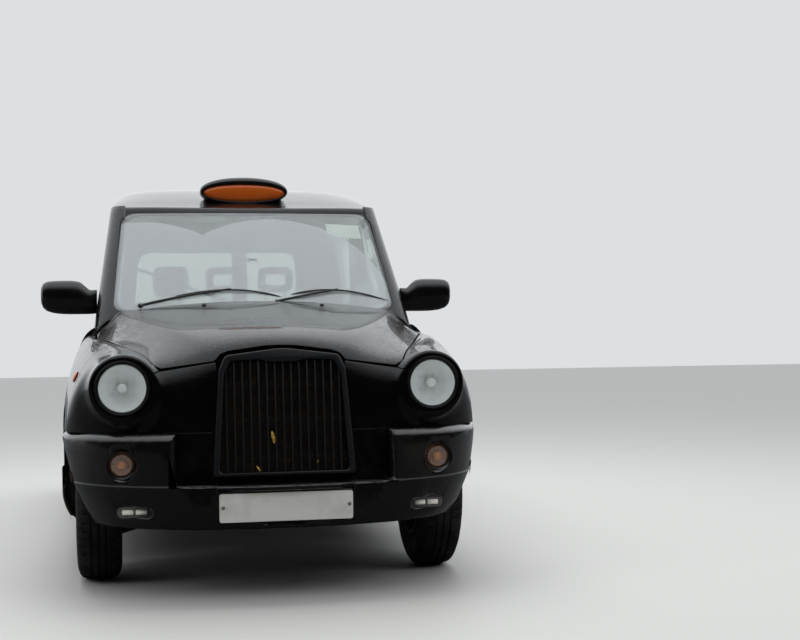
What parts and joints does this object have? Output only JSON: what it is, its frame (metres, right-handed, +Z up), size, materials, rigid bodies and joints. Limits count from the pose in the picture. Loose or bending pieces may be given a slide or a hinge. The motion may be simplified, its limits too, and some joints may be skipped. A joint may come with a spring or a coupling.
{
  "type": "taxi cab",
  "caption": "Four-door taxi cab with upright body, tall grille, round headlamps and a roof sign; wheels, steering, doors, bonnet and boot lid move.",
  "frame": {"origin": "on the ground under the middle of the cab's length and width", "axes": "+Z up, -Y towards the nose, +X towards the cab's left side"},
  "size_m": [2.0308, 4.5796, 1.8546],
  "materials": {
    "black_paint": "gloss black paint, wet",
    "black_plastic": "moulded, satin to gloss",
    "window_glass": "clear with a faint green tint",
    "red_lens": "clear red moulding",
    "reflector": "bright reflector in a black rim",
    "black_steel": "chassis black, dirty",
    "floor_paint": "underseal",
    "iron": "cast and machined",
    "exhaust_steel": "dull steel",
    "wheel_steel": "dark painted steel",
    "tyre": "moulded rubber",
    "trim_plastic": "grained moulding",
    "seat_cloth": "woven wool mix"
  },
  "bodies": {
    "body": {"body_side_left": "black_paint", "body_side_right": "black_paint", "roof": "black_paint", "tail_frame": "black_paint", "front_wing_left": "black_paint", "front_wing_right": "black_paint", "front_panel": "black_paint", "scuttle": "black_paint", "grille_surround": "black_plastic", "grille": "black_plastic", "front_bumper": "black_plastic", "rear_bumper": "black_plastic", "roof_sign": "black_plastic", "fuel_tank": "black_plastic", "fixed_glass": "window_glass", "headlamp_lenses": "window_glass", "bumper_lamps": "window_glass", "tail_lamps": "red_lens", "headlamp_bodies": "reflector", "chassis_frame": "black_steel", "crossmembers": "black_steel", "suspension": "black_steel", "rear_axle": "black_steel", "propshaft": "black_steel", "floor_pan": "floor_paint", "front_wheel_houses": "floor_paint", "rear_wheel_houses": "floor_paint", "engine_block": "iron", "exhaust": "exhaust_steel", "dashboard": "trim_plastic", "partition": "trim_plastic", "driver_seat": "seat_cloth", "rear_bench": "seat_cloth", "folding_seats": "seat_cloth"},
    "bonnet": {"bonnet": "black_paint"},
    "boot_lid": {"boot_lid": "black_paint"},
    "steering_wheel": {"steering_wheel": "trim_plastic"},
    "front_door_left": {"front_door_left": "black_paint", "front_door_glass_left": "window_glass", "mirror_left": "black_plastic"},
    "wheel_front_left": {"wheel_front_left": "wheel_steel", "tyre_front_left": "tyre"},
    "front_door_right": {"front_door_right": "black_paint", "front_door_glass_right": "window_glass", "mirror_right": "black_plastic"},
    "wheel_front_right": {"wheel_front_right": "wheel_steel", "tyre_front_right": "tyre"},
    "rear_door_left": {"rear_door_left": "black_paint", "rear_door_glass_left": "window_glass"},
    "wheel_rear_left": {"wheel_rear_left": "wheel_steel", "tyre_rear_left": "tyre"},
    "rear_door_right": {"rear_door_right": "black_paint", "rear_door_glass_right": "window_glass"},
    "wheel_rear_right": {"wheel_rear_right": "wheel_steel", "tyre_rear_right": "tyre"},
    "knuckle_left": {"knuckle_left": "black_steel"},
    "knuckle_right": {"knuckle_right": "black_steel"}
  },
  "joints": [
    {"name": "front_door_left_hinge", "type": "hinge", "parent": "body", "child": "front_door_left", "pos_m": [0.886, -1.08, 0.65], "axis": [0, 0, -1], "range_deg": [0, 65]},
    {"name": "rear_door_left_hinge", "type": "hinge", "parent": "body", "child": "rear_door_left", "pos_m": [0.886, 0.038, 0.65], "axis": [0, 0, -1], "range_deg": [0, 80]},
    {"name": "steer_left", "type": "hinge", "parent": "body", "child": "knuckle_left", "pos_m": [0.688, -1.5, 0.343], "axis": [0, 0, 1], "range_deg": [-45, 45]},
    {"name": "wheel_front_left_spin", "type": "hinge", "parent": "knuckle_left", "child": "wheel_front_left", "pos_m": [0.7225, -1.5, 0.343], "axis": [1, 0, 0], "continuous": true},
    {"name": "wheel_rear_left_spin", "type": "hinge", "parent": "body", "child": "wheel_rear_left", "pos_m": [0.7225, 1.386, 0.343], "axis": [1, 0, 0], "continuous": true},
    {"name": "front_door_right_hinge", "type": "hinge", "parent": "body", "child": "front_door_right", "pos_m": [-0.886, -1.08, 0.65], "axis": [0, 0, 1], "range_deg": [0, 65]},
    {"name": "rear_door_right_hinge", "type": "hinge", "parent": "body", "child": "rear_door_right", "pos_m": [-0.886, 0.038, 0.65], "axis": [0, 0, 1], "range_deg": [0, 80]},
    {"name": "steer_right", "type": "hinge", "parent": "body", "child": "knuckle_right", "pos_m": [-0.688, -1.5, 0.343], "axis": [0, 0, 1], "range_deg": [-45, 45]},
    {"name": "wheel_front_right_spin", "type": "hinge", "parent": "knuckle_right", "child": "wheel_front_right", "pos_m": [-0.7225, -1.5, 0.343], "axis": [1, 0, 0], "continuous": true},
    {"name": "wheel_rear_right_spin", "type": "hinge", "parent": "body", "child": "wheel_rear_right", "pos_m": [-0.7225, 1.386, 0.343], "axis": [1, 0, 0], "continuous": true},
    {"name": "bonnet_hinge", "type": "hinge", "parent": "body", "child": "bonnet", "pos_m": [0, -1.121, 1.2], "axis": [-1, 0, 0], "range_deg": [0, 50]},
    {"name": "boot_lid_hinge", "type": "hinge", "parent": "body", "child": "boot_lid", "pos_m": [0, 1.962, 1.078], "axis": [1, 0, 0], "range_deg": [0, 80]},
    {"name": "steering_wheel_turn", "type": "hinge", "parent": "body", "child": "steering_wheel", "pos_m": [-0.37, -0.64, 1.005], "axis": [0, 0.8849, 0.4657], "range_deg": [-540, 540]}
  ],
  "couplings": [
    {"joint": "steer_right", "follows": "steer_left", "ratio": 1},
    {"joint": "steering_wheel_turn", "follows": "steer_left", "ratio": 12}
  ]
}
